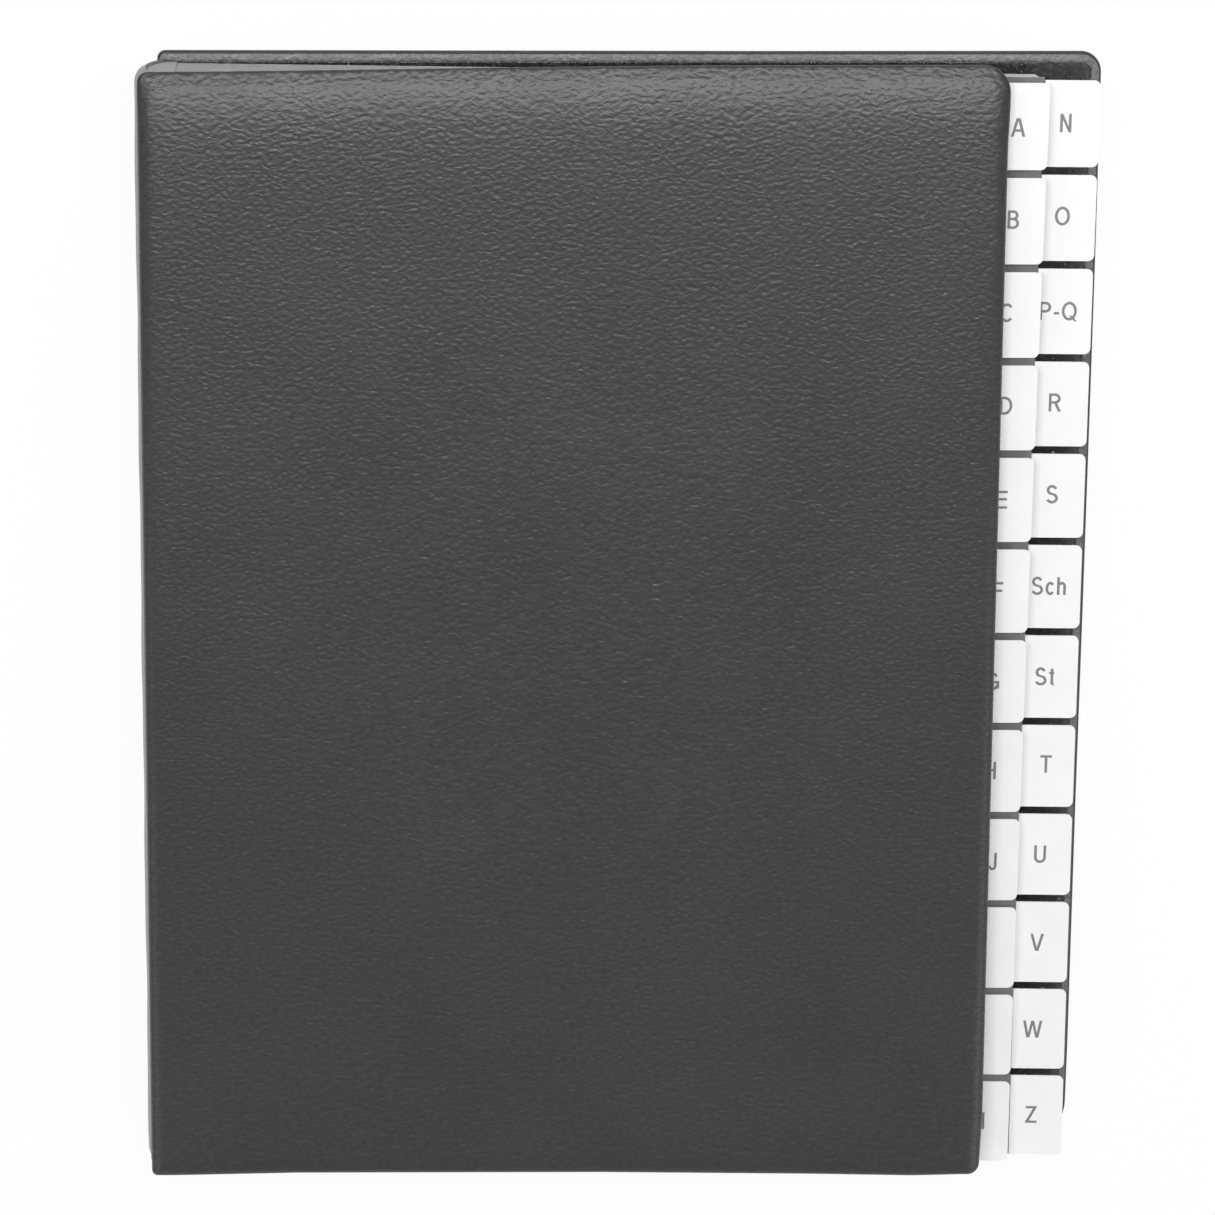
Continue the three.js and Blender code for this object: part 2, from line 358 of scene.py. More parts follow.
@dataclass(frozen=True)
class RimPaintedHighlightFinish(Finish):
    """The same leatherette where it is turned in, smoother, drawn tight and creased at the corners, painted
    much paler than the covers as a painted highlight for the light its rounded edge catches.
    """

    name: str = "turned_in_leatherette"
    # Far paler than the covers' leatherette: painted highlight on the turned-in edge
    tone: float = 0.115
    roughness: float = 0.42

    def paint(self, s: Shader) -> None:
        """Adds the nodes of this finish to its shader."""
        grain = s.noise(s.place((0.8, 1.0, 1.0)), 1000.0, 1.0).ramp(0.3, 0.7)
        fine = s.noise(s.place(), 1500.0, 3.0)
        patch = s.noise(s.place(), 120.0, 3.0)
        s.bump(grain * 0.5 + fine * 0.3 + patch * 0.4, 0.00012)
        dark = tinted(self.tone, 0.7, 0.71, 0.74)
        light = tinted(self.tone, 1.3, 1.3, 1.34)
        s.set(Base_Color=s.blend((grain * 0.4 + patch * 0.6).ramp(0.25, 0.75), dark, light))
        s.set(Roughness=patch.ramp(0.3, 0.7, self.roughness - 0.08, self.roughness + 0.1))


@dataclass(frozen=True)
class LiningFinish(Finish):
    """Glossy black film with small specks and long soft waves."""

    name: str = "black_lining"
    tone: float = 0.012

    def paint(self, s: Shader) -> None:
        """Adds the nodes of this finish to its shader."""
        wave = s.noise(s.place((1.0, 0.6, 1.0)), 55.0, 3.0)
        fine = s.noise(s.place(), 900.0, 2.0)
        speck = s.noise(s.place(), 620.0, 1.0).ramp(0.74, 0.8)
        s.bump(wave * 0.8 + fine * 0.06 + speck * 0.3, 0.0006)
        s.set(Base_Color=s.blend(speck, rgb(self.tone, self.tone, self.tone * 1.08), rgb(0.35, 0.35, 0.36)))
        s.set(Roughness=fine.ramp(0.3, 0.7, 0.16, 0.3))
        s.set(Coat_Weight=0.4, Coat_Roughness=0.12)


@dataclass(frozen=True)
class SealFinish(Finish):
    """The welded line along the lining: black film pressed into an uneven bead, with bright flecks painted on
    as glints.
    """

    name: str = "seal_bead"

    def paint(self, s: Shader) -> None:
        """Adds the nodes of this finish to its shader."""
        fleck_and_glint = s.noise(s.place(), 800.0, 2.0)
        s.bump(fleck_and_glint, 0.0002)
        # The bright flecks in the colour are painted glints; the same noise also gives the bead's relief and
        # roughness
        s.set(Base_Color=s.blend(fleck_and_glint.ramp(0.62, 0.72), rgb(0.008, 0.008, 0.009), rgb(0.3, 0.3, 0.31)))
        s.set(Roughness=fleck_and_glint.ramp(0.3, 0.7, 0.12, 0.34))


@dataclass(frozen=True)
class CardFinish(Finish):
    """Dark grey card with a faint fibre and paler edges, partly their own colour and partly painted light."""

    name: str = "grey_card"
    face: float = 0.14
    # Edge tone: the edges' own paler colour, raised further as painted light on them
    edge: float = 0.74

    def paint(self, s: Shader) -> None:
        """Adds the nodes of this finish to its shader."""
        fibre = s.noise(s.place((1.0, 0.35, 1.0)), 1400.0, 3.0)
        cloud = s.noise(s.place(), 40.0, 2.0)
        _, _, up = s.facing()
        paler_and_lit_edge = up.abs().ramp(0.5, 0.8, 1.0, 0.0)
        tint = (fibre * 0.5 + cloud * 0.5).ramp(0.3, 0.7)
        face = s.blend(
            tint,
            tinted(self.face, 0.86, 0.87, 0.9),
            tinted(self.face, 1.12, 1.12, 1.15),
        )
        # Side faces get the edge tone, partly their own colour and partly painted light
        side = s.blend(
            tint,
            tinted(self.edge, 0.86, 0.86, 0.88),
            tinted(self.edge, 1.1, 1.08, 1.08),
        )
        s.set(Base_Color=s.blend(paler_and_lit_edge, face, side))
        s.set(Roughness=fibre.ramp(0.3, 0.7, 0.34, 0.46))
        s.bump(fibre, 0.00002)


@dataclass(frozen=True)
class FilmFinish(Finish):
    """White tab film with a soft sheen."""

    name: str = "white_film"

    def paint(self, s: Shader) -> None:
        """Adds the nodes of this finish to its shader."""
        fine = s.noise(s.place(), 700.0, 2.0)
        cloud = s.noise(s.place(), 90.0, 2.0)
        s.set(Base_Color=s.blend(cloud.ramp(0.3, 0.7), rgb(0.885, 0.885, 0.883), rgb(0.905, 0.905, 0.903)))
        s.set(Roughness=fine.ramp(0.3, 0.7, 0.28, 0.4))
        s.bump(fine * 0.5 + cloud * 0.5, 0.00003)


@dataclass(frozen=True)
class InkFinish(Finish):
    """Grey printing ink, a little uneven."""

    name: str = "grey_ink"
    tone: float = 0.19

    def paint(self, s: Shader) -> None:
        """Adds the nodes of this finish to its shader."""
        blot = s.noise(s.place(), 2200.0, 2.0)
        low = tinted(self.tone, 0.86, 0.86, 0.89)
        high = tinted(self.tone, 1.12, 1.12, 1.15)
        s.set(Base_Color=s.blend(blot.ramp(0.3, 0.7), low, high))
        s.set(Roughness=blot.ramp(0.3, 0.7, 0.4, 0.55))


@dataclass(frozen=True)
class GussetFinish(Finish):
    """Matt light grey concertina paper."""

    name: str = "gusset_paper"
    tone: float = 0.285

    def paint(self, s: Shader) -> None:
        """Adds the nodes of this finish to its shader."""
        fibre = s.noise(s.place((1.0, 0.3, 1.0)), 1200.0, 3.0)
        low = tinted(self.tone, 0.84, 0.85, 0.88)
        high = tinted(self.tone, 1.14, 1.14, 1.17)
        s.set(Base_Color=s.blend(fibre.ramp(0.3, 0.7), low, high))
        s.set(Roughness=fibre.ramp(0.3, 0.7, 0.6, 0.76))
        s.bump(fibre, 0.00005)


@dataclass(frozen=True)
class FloorFinish(Finish):
    """A white table top that shows as plain white and keeps soft shadows."""

    name: str = "white_table"
    base: float = 0.95
    shown: float = 0.93

    def paint(self, s: Shader) -> None:
        """Adds the nodes of this finish to its shader."""
        s.set(Base_Color=rgb(self.base, self.base, self.base), Roughness=0.8)
        path = s.node("ShaderNodeLightPath", {}, {})
        seen = Sock(s, path.outputs["Is Camera Ray"]) + Sock(s, path.outputs["Is Glossy Ray"])
        seen = (seen + Sock(s, path.outputs["Is Transmission Ray"])).ramp(0.0, 1.0)
        glow = s.node("ShaderNodeEmission", {}, {"Color": rgb(1.0, 1.0, 1.0), "Strength": 1.0})
        mix = s.node("ShaderNodeMixShader", {}, {0: seen * self.shown})
        s.tree.links.new(s.surface.outputs[0], mix.inputs[1])
        s.tree.links.new(glow.outputs[0], mix.inputs[2])
        s.tree.links.new(mix.outputs[0], s.output.inputs["Surface"])


# --- mesh helpers


def linked(name: str, data: bpy.types.ID) -> Object:
    """Makes an object of some data and adds it to the scene."""
    made = bpy.data.objects.new(name, data)
    bpy.context.scene.collection.objects.link(made)
    return made


def new_object(name: str, verts: Sequence[Point], faces: Iterable[Sequence[int]]) -> Object:
    """Makes an object at the origin from points in metres.

    Args:
        name: the object's name.
        verts: its points.
        faces: its faces, as point numbers.

    Returns:
        The linked object.
    """
    mesh = bpy.data.meshes.new(name)
    mesh.from_pydata([tuple(v) for v in verts], [], [tuple(f) for f in faces])
    mesh.validate()
    return linked(name, mesh)


def outward(obj: Object) -> None:
    """Turns the faces of a closed mesh outwards."""
    bm = bmesh.new()
    bm.from_mesh(obj.data)
    bmesh.ops.recalc_face_normals(bm, faces=bm.faces)
    bm.to_mesh(obj.data)
    bm.free()


def smooth(obj: Object, angle: float = 40.0) -> None:
    """Shades a mesh smooth, and keeps edges sharper than the angle.

    Args:
        obj: the object.
        angle: limit in degrees.
    """
    obj.data.polygons.foreach_set("use_smooth", [True] * len(obj.data.polygons))
    obj.data.set_sharp_from_angle(angle=math.radians(angle))


def dress(obj: Object, material: Material, slot: Optional[Slot]) -> None:
    """Gives an object one material.

    Args:
        obj: the object.
        material: the material.
        slot: the record's slot, or None for a CAD node; not used.
    """
    obj.data.materials.clear()
    obj.data.materials.append(material)


@dataclass(frozen=True)
class Corners:
    """Corner radii of a cover, in mm, each side from foot to head."""

    spine: Pair
    fore: Pair


def outline(
    x0: float, x1: float, y0: float, y1: float, radii: Corners, inset: float, steps: int, side_steps: int
) -> list[Pair]:
    """Points round a rectangle with rounded corners, anticlockwise, in mm.

    Args:
        x0: spine side.
        x1: fore edge side.
        y0: foot.
        y1: head.
        radii: corner radii.
        inset: distance in from the outline.
        steps: steps in each corner.
        side_steps: steps along each side.

    Returns:
        The points.
    """
    corners = [
        (x0, y0, 1, 1, math.pi, radii.spine[0]),
        (x1, y0, -1, 1, 1.5 * math.pi, radii.fore[0]),
        (x1, y1, -1, -1, 0.0, radii.fore[1]),
        (x0, y1, 1, -1, 0.5 * math.pi, radii.spine[1]),
    ]
    arcs: list[list[Pair]] = []
    for x, y, sx, sy, start, radius in corners:
        reach = max(radius, inset + 0.05)
        r = max(radius - inset, 0.05)
        cx, cy = x + sx * reach, y + sy * reach
        arc = []
        for i in range(steps + 1):
            a = start + 0.5 * math.pi * i / steps
            arc.append((cx + r * math.cos(a), cy + r * math.sin(a)))
        arcs.append(arc)
    points: list[Pair] = []
    for i, arc in enumerate(arcs):
        points += arc
        ax, ay = arc[-1]
        bx, by = arcs[(i + 1) % 4][0]
        for k in range(1, side_steps):
            t = k / side_steps
            points.append((ax + (bx - ax) * t, ay + (by - ay) * t))
    return points


def along(line: Sequence[Pair], x: float) -> float:
    """Reads a line of points at one place, and holds it at its ends.

    Args:
        line: its points, from left to right.
        x: the place.

    Returns:
        The value there.
    """
    if x <= line[0][0]:
        return line[0][1]
    for (x0, y0), (x1, y1) in zip(line, line[1:]):
        if x <= x1:
            return y0 + (y1 - y0) * (x - x0) / (x1 - x0)
    return line[-1][1]


def stacked(name: str, rings: Sequence[Sequence[Point]], looped: bool = False) -> Object:
    """Makes a closed skin through rings of equal length.

    Args:
        name: the object's name.
        rings: the rings, in mm.
        looped: joins the last ring to the first, and otherwise caps both.

    Returns:
        The object.
    """
    n, count = len(rings[0]), len(rings)
    verts = [(x * MM, y * MM, z * MM) for ring in rings for x, y, z in ring]
    faces: list[Sequence[int]] = []
    for k in range(count if looped else count - 1):
        m = (k + 1) % count
        for i in range(n):
            j = (i + 1) % n
            faces.append((k * n + i, k * n + j, m * n + j, m * n + i))
    if not looped:
        faces.append(tuple(range(n))[::-1])
        faces.append(tuple(range((count - 1) * n, count * n)))
    made = new_object(name, verts, faces)
    outward(made)
    return made


# --- covers


@dataclass
class CoverBoard:
    """A board wrapped in padded leatherette, with its turned-in rim on the inside.

    Sizes are in mm. inner is the height of its inner face, and up is 1 if it is crowned upwards.
    """

    name: str
    node: str
    body: Body
    left: float
    right: float
    radii: Corners
    inner: float
    up: int
    height: float = 340.0
    head_line: Line = ((0.0, 0.0),)
    foot_line: Line = ((0.0, 0.0),)
    fore_line: Line = ((0.0, 0.0),)
    head_fall: Line = ((0.0, 0.0),)
    dish: float = 0.0
    bend_from: float = 90.0
    bend_over: float = 80.0
    crown_from: float = 2.2
    crown_over: float = 2.4
    profile: Line = (
        (3.4, 0.0), (2.2, 0.02), (1.25, 0.06), (0.6, 0.28), (0.18, 0.75), (0.0, 1.4), (0.0, 2.1),
        (0.12, 2.75), (0.42, 3.35), (0.9, 3.85), (1.6, 4.24), (2.6, 4.62), (3.6, 4.8), (5.0, 4.92),
        (6.6, 4.96), (8.5, 4.98), (10.5, 4.99), (13.0, 5.0), (16.0, 5.0), (20.0, 5.0), (25.0, 5.0),
        (31.0, 5.0), (38.0, 5.0), (48.0, 5.0), (62.0, 5.0), (80.0, 5.0), (100.0, 5.0), (118.0, 5.0),
    )

    def warp(self, x: float, y: float, z: float, h: float) -> Point:
        """Moves a point as the real cover is out of true.

        Args:
            x: place across.
            y: place along.
            z: height.
            h: height above the inner face.

        Returns:
            The moved point.
        """
        across = (x - self.left) / (self.right - self.left)
        share = max(0.0, min(1.0, (abs(y) - self.bend_from) / self.bend_over))
        shift = share * along(self.head_line if y > 0 else self.foot_line, x)
        hollow = math.sin(math.pi * max(0.0, min(1.0, across))) * math.cos(math.pi * y / self.height)
        crown = max(0.0, min(1.0, (h - self.crown_from) / self.crown_over))
        fall = self.dish * hollow + along(self.head_fall, self.height / 2 - y)
        lean = max(0.0, across) * along(self.fore_line, y)
        return (x + lean, y + shift, z - self.up * fall * crown)

    def build(self) -> Object:
        """Makes the wrapped board.

        Returns:
            The object.
        """
        rings = []
        for inset, h in self.profile:
            ring = outline(
                self.left, self.right, -self.height / 2, self.height / 2, self.radii, inset, 10, 84
            )
            rings.append([self.warp(x, y, self.inner + self.up * h, h) for x, y in ring])
        made = stacked(self.name, rings)
        smooth(made, 60.0)
        return made

    def dress(self, obj: Object, leather: Material) -> None:
        """Finishes the board and ties it to its body.

        Args:
            obj: the board.
            leather: its leatherette.
        """
        dress(obj, leather, Slot.LEATHERETTE)
        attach(obj, self.body.value)
        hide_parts(self.node)
        LOG.info("%s: %d faces", obj.name, len(obj.data.polygons))


@dataclass
class TurnedRim:
    """The strip of leatherette turned in over a cover's edge, with pleats at the fore corners."""

    name: str
    cover: CoverBoard
    thick: float = 0.3
    pleats: int = 9
    pleat_depth: float = 0.16
    pleat_reach: float = 2.5

    def _ring(self, inset: float, h: float, ripple: float) -> list[Point]:
        """One ring of the strip.

        Args:
            inset: distance in from the cover's outline.
            h: height over the cover's inner face.
            ripple: share of the pleats' depth.

        Returns:
            The ring's points.
        """
        c = self.cover
        flat = outline(c.left, c.right, -c.height / 2, c.height / 2, c.radii, inset, 54, 30)
        points = []
        for x, y in flat:
            lift = 0.0
            for sy in (-1, 1):
                radius = c.radii.fore[0] if sy < 0 else c.radii.fore[1]
                cx, cy = c.right - radius, sy * (c.height / 2 - radius)
                dx, dy = x - cx, sy * (y - cy)
                if dx > -self.pleat_reach and dy > -self.pleat_reach:
                    a = math.atan2(dy + self.pleat_reach, dx + self.pleat_reach)
                    fade = math.sin(2 * a) ** 0.5 if 0 < a < math.pi / 2 else 0.0
                    lift = self.pleat_depth * fade * math.sin(a * 4 * self.pleats) ** 2
            z = c.inner - c.up * (h + lift * ripple)
            points.append(c.warp(x, y, z, 0.0))
        return points

    def build(self) -> Object:
        """Makes the strip as one closed ring.

        Returns:
            The object.
        """
        rings = [self._ring(*values) for values in (
            (1.35, -0.12, 0.0), (0.75, 0.04, 0.2), (1.15, 0.16, 0.7), (1.9, 0.24, 1.0),
            (2.6, self.thick, 1.0), (3.05, self.thick - 0.03, 0.8), (3.35, -0.1, 0.0),
        )]
        made = stacked(self.name, rings, looped=True)
        smooth(made, 55.0)
        return made

    def dress(self, obj: Object, material: Material) -> None:
        """Finishes the rim and ties it to its cover.

        Args:
            obj: the rim.
            material: its finish.
        """
        dress(obj, material, Slot.LEATHERETTE)
        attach(obj, self.cover.body.value)
        LOG.info("%s: %d faces", obj.name, len(obj.data.polygons))


@dataclass
class SealLine:
    """The welded line between rim and lining, a row of small pressed beads made by Geometry Nodes."""

    name: str
    cover: CoverBoard
    inset: float = 3.25
    pitch: float = 0.85
    bead: Point = (0.55, 0.26, 0.13)
    growth: Pair = (0.55, 1.25)
    spine_inset: float = 5.9
    sink: float = 0.34
    seed: int = 7

    def _path(self) -> Object:
        """A closed curve along the line.

        Returns:
            The curve object.
        """
        c = self.cover
        left, top = c.left + self.spine_inset, c.height / 2
        flat = outline(left, c.right, -top, top, c.radii, self.inset, 12, 2)
        curve = bpy.data.curves.new(self.name + "_path", "CURVE")
        curve.dimensions = "3D"
        spline = curve.splines.new("POLY")
        spline.points.add(len(flat) - 1)
        z = c.inner - c.up * self.sink
        for point, (x, y) in zip(spline.points, flat):
            wx, wy, wz = c.warp(x, y, z, 0.0)
            point.co = (wx * MM, wy * MM, wz * MM, 1.0)
        spline.use_cyclic_u = True
        return linked(self.name + "_path", curve)

    def build(self, material: Material) -> Object:
        """Makes the beads.

        Args:
            material: the beads' finish.

        Returns:
            The object, a plain mesh.
        """
        tree = bpy.data.node_groups.new(self.name + "_beads", "GeometryNodeTree")
        keys = {}
        for title, kind in (("Geometry", "Geometry"), ("Pitch", "Float"), ("Bead", "Vector"), ("Seed", "Int")):
            made = tree.interface.new_socket(title, in_out="INPUT", socket_type="NodeSocket" + kind)
            keys[title] = made.identifier
        tree.interface.new_socket("Geometry", in_out="OUTPUT", socket_type="NodeSocketGeometry")
        add, link = tree.nodes.new, tree.links.new
        start, end = add("NodeGroupInput"), add("NodeGroupOutput")
        spread = add("GeometryNodeCurveToPoints")
        spread.mode = "LENGTH"
        link(start.outputs["Geometry"], spread.inputs["Curve"])
        link(start.outputs["Pitch"], spread.inputs["Length"])
        ball = add("GeometryNodeMeshIcoSphere")
        ball.inputs["Radius"].default_value = 1.0
        ball.inputs["Subdivisions"].default_value = 1
        vary = add("FunctionNodeRandomValue")
        vary.data_type = "FLOAT"
        vary.inputs[2].default_value, vary.inputs[3].default_value = self.growth
        link(start.outputs["Seed"], vary.inputs["Seed"])
        grow = add("ShaderNodeVectorMath")
        grow.operation = "SCALE"
        link(start.outputs["Bead"], grow.inputs[0])
        link(vary.outputs[1], grow.inputs["Scale"])
        put = add("GeometryNodeInstanceOnPoints")
        link(spread.outputs["Points"], put.inputs["Points"])
        link(spread.outputs["Rotation"], put.inputs["Rotation"])
        link(ball.outputs["Mesh"], put.inputs["Instance"])
        link(grow.outputs[0], put.inputs["Scale"])
        real = add("GeometryNodeRealizeInstances")
        link(put.outputs[0], real.inputs[0])
        paint = add("GeometryNodeSetMaterial")
        paint.inputs["Material"].default_value = material
        link(real.outputs[0], paint.inputs["Geometry"])
        link(paint.outputs[0], end.inputs[0])
        path = self._path()
        modifier = path.modifiers.new("beads", "NODES")
        modifier.node_group = tree
        modifier[keys["Pitch"]] = self.pitch * MM
        # Curve points run along Z, so the bead's length is its third size
        modifier[keys["Bead"]] = (self.bead[1] * MM, self.bead[2] * MM, self.bead[0] * MM)
        modifier[keys["Seed"]] = self.seed
        return converted(path, self.name)

    def dress(self, obj: Object) -> None:
        """Ties the beads to their cover."""
        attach(obj, self.cover.body.value)
        LOG.info("%s: %d faces", obj.name, len(obj.data.polygons))


def converted(source: Object, name: str) -> Object:
    """Turns an object with a Geometry Nodes modifier into a plain mesh, and deletes it.

    Args:
        source: the object.
        name: the new object's name.

    Returns:
        The new object.
    """
    bpy.context.view_layer.update()
    graph = bpy.context.evaluated_depsgraph_get()
    mesh = bpy.data.meshes.new_from_object(source.evaluated_get(graph), depsgraph=graph)
    bpy.data.objects.remove(source, do_unlink=True)
    mesh.name = name
    return linked(name, mesh)


# --- spine


@dataclass
class SpineSkin:
    """Leatherette over the spine, in two halves, one at each hinge. Sizes in mm."""

    back_left: float = -136.0
    front_left: float = -140.5
    low: float = 5.0
    high: float = 32.0
    middle: float = 18.5
    half: float = 167.8
    thick: float = 0.9
    end_radius: float = 4.4
    limit: float = -142.0
    lower_from: float = 6.2
    upper_to: float = 30.6
    lower_end: Line = ((1.2, 1.9), (0.1, 2.6), (-0.35, 3.6), (-0.45, 4.7))
    upper_end: Line = (
        (-0.32, 31.6), (-0.28, 32.6), (-0.22, 33.5), (0.05, 34.15), (0.6, 34.65),
    )

    def _x(self, z: float) -> float:
        """Outer line of the spine at a height."""
        t = max(0.0, min(1.0, (z - self.low) / (self.high - self.low)))
        lean = self.back_left + (self.front_left - self.back_left) * t**0.8
        swell = 3.6 * math.sin(math.pi * t**0.82) ** 1.2 if 0 < t < 1 else 0.0
        return max(lean - swell, self.limit)

    def _strip(self, name: str, section: Sequence[Pair]) -> Object:
        """Sweeps a line in X and Z along Y and gives it a thickness.

        Args:
            name: the object's name.
            section: its outer line, from below upwards.

        Returns:
            The object.
        """
        straight = self.half - self.end_radius
        stops = [self.half - self.end_radius * (i / 8) ** 1.5 for i in range(8)]
        middle = [-straight + 2 * straight * j / 56 for j in range(57)]
        places = [-y for y in stops] + middle + stops[::-1]
        rows = len(places) - 1
        verts: list[Point] = []
        for y in places:
            # The strip's two ends are drawn in round the boards' corners
            end = min(0.97, max(0.0, (abs(y) - (self.half - self.end_radius)) / self.end_radius))
            for x, z in section:
                pull = self.end_radius * (1.0 - math.sqrt(1.0 - end * end))
                ripple = 0.10 * math.sin(y / 11.0 + z * 0.25) + 0.06 * math.sin(y / 4.7)
                edge = max(0.0, min(1.0, min(z - 7.0, 30.0 - z) / 4.0))
                verts.append(((x + pull + ripple * edge) * MM, y * MM, z * MM))
        n = len(section)
        faces = []
        for j in range(rows):
            for i in range(n - 1):
                a = j * n + i
                faces.append((a, a + 1, a + 1 + n, a + n))
        made = new_object(name, verts, faces)
        bm = bmesh.new()
        bm.from_mesh(made.data)
        bm.normal_update()
        bm.faces.ensure_lookup_table()
        probe = bm.faces[(rows // 2) * (n - 1) + n // 2]
        if probe.normal.x > 0:
            bmesh.ops.reverse_faces(bm, faces=bm.faces)
        bm.to_mesh(made.data)
        bm.free()
        solid = made.modifiers.new("thickness", "SOLIDIFY")
        solid.thickness = self.thick * MM
        solid.offset = -1.0
        return converted(made, name)

    def build(self) -> tuple[Object, Object]:
        """Makes both halves.

        Returns:
            The lower and the upper half.
        """
        lower = [(self.back_left + dx, z) for dx, z in self.lower_end]
        z = self.lower_from
        while z < self.middle + 0.01:
            lower.append((self._x(z), z))
            z += (self.middle - self.lower_from) / 8
        steps = 9
        heights = [self.middle + (self.upper_to - self.middle) * i / steps for i in range(steps + 1)]
        upper = [(self._x(z), z) for z in heights]
        upper += [(self.front_left + dx, z) for dx, z in self.upper_end]
        parts = (self._strip("spine_lower", lower), self._strip("spine_upper", upper))
        for part in parts:
            smooth(part, 50.0)
        return parts

    def dress(self, lower: Object, upper: Object, leather: Material) -> None:
        """Finishes both halves, hides the spine node and bakes their places into their meshes.

        Args:
            lower: the half at the back cover.
            upper: the half at the front cover.
            leather: their leatherette.
        """
        for part in (lower, upper):
            dress(part, leather, Slot.LEATHERETTE)
            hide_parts("spine")
        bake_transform(lower)
        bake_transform(upper)
        LOG.info("spine skins: %d and %d faces", len(lower.data.polygons), len(upper.data.polygons))


# --- cards


Stroke = list[Pair]


